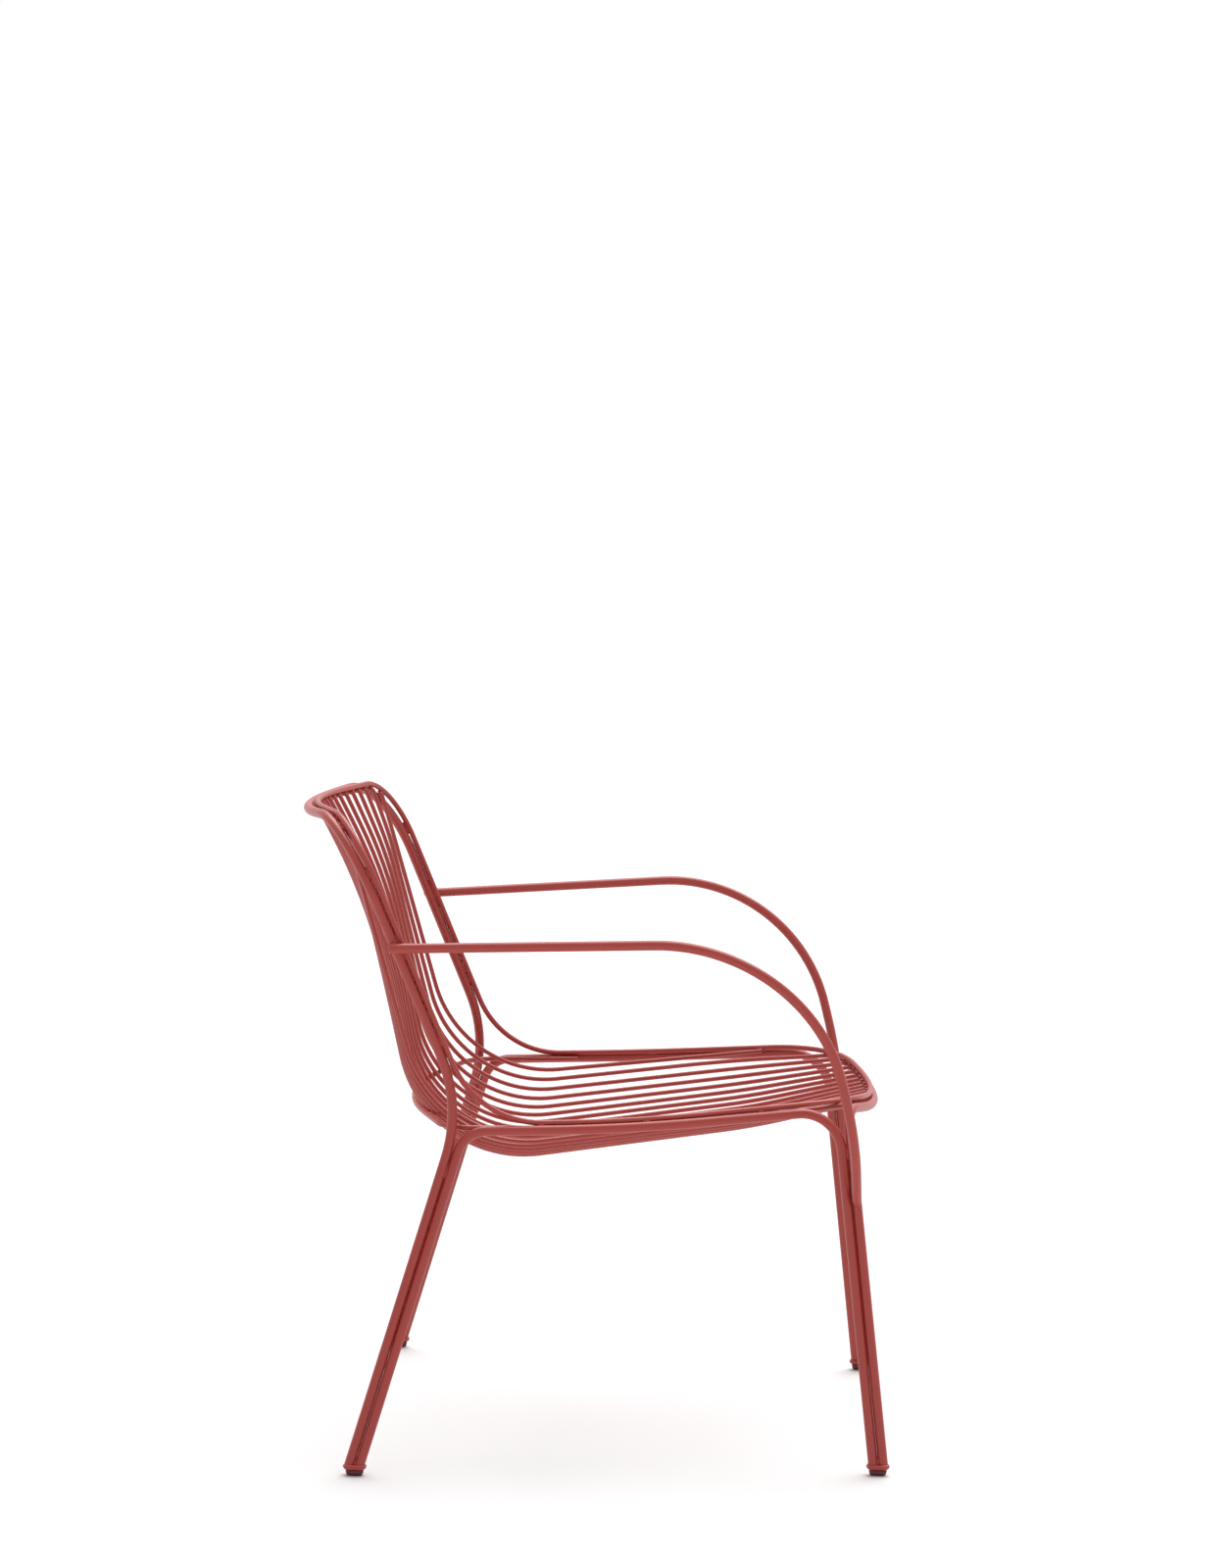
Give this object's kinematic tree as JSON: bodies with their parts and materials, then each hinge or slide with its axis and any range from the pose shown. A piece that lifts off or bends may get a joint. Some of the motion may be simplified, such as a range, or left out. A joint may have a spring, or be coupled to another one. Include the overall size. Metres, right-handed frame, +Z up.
{
  "type": "garden armchair",
  "caption": "Low garden armchair of bent steel rod with a wire seat shell, looped open armrests and doubled splayed legs on oval glides",
  "frame": {"origin": "on the floor, at the middle of the chair's footprint", "axes": "+Z up from the floor, -Y out of the chair's front, +X to the sitter's left"},
  "size_m": [0.6328, 0.6557, 0.692],
  "materials": {
    "frame": "fine matt textured brick-red powder coat on steel rod",
    "glide": "dark red moulded polypropylene"
  },
  "bodies": {
    "root": {"rear_hoop": "frame", "front_hoop": "frame", "side_frame_right": "frame", "side_frame_left": "frame", "armrest_right": "frame", "armrest_left": "frame", "shell_rim": "frame", "lower_back_brace": "frame", "foot_plate_rear_right": "frame", "foot_plate_rear_left": "frame", "foot_plate_front_right": "frame", "foot_plate_front_left": "frame", "shell_wire_01": "frame", "shell_wire_02": "frame", "shell_wire_03": "frame", "shell_wire_04": "frame", "shell_wire_05": "frame", "shell_wire_06": "frame", "shell_wire_07": "frame", "shell_wire_08": "frame", "shell_wire_09": "frame", "shell_wire_10": "frame", "shell_wire_11": "frame", "shell_wire_12": "frame", "shell_wire_13": "frame", "shell_wire_14": "frame", "shell_wire_15": "frame", "shell_wire_16": "frame", "shell_wire_17": "frame", "shell_wire_18": "frame", "shell_wire_19": "frame", "shell_wire_20": "frame", "shell_wire_21": "frame", "shell_wire_22": "frame", "shell_wire_23": "frame", "glide_rear_right": "glide", "glide_rear_left": "glide", "glide_front_right": "glide", "glide_front_left": "glide"}
  },
  "joints": []
}
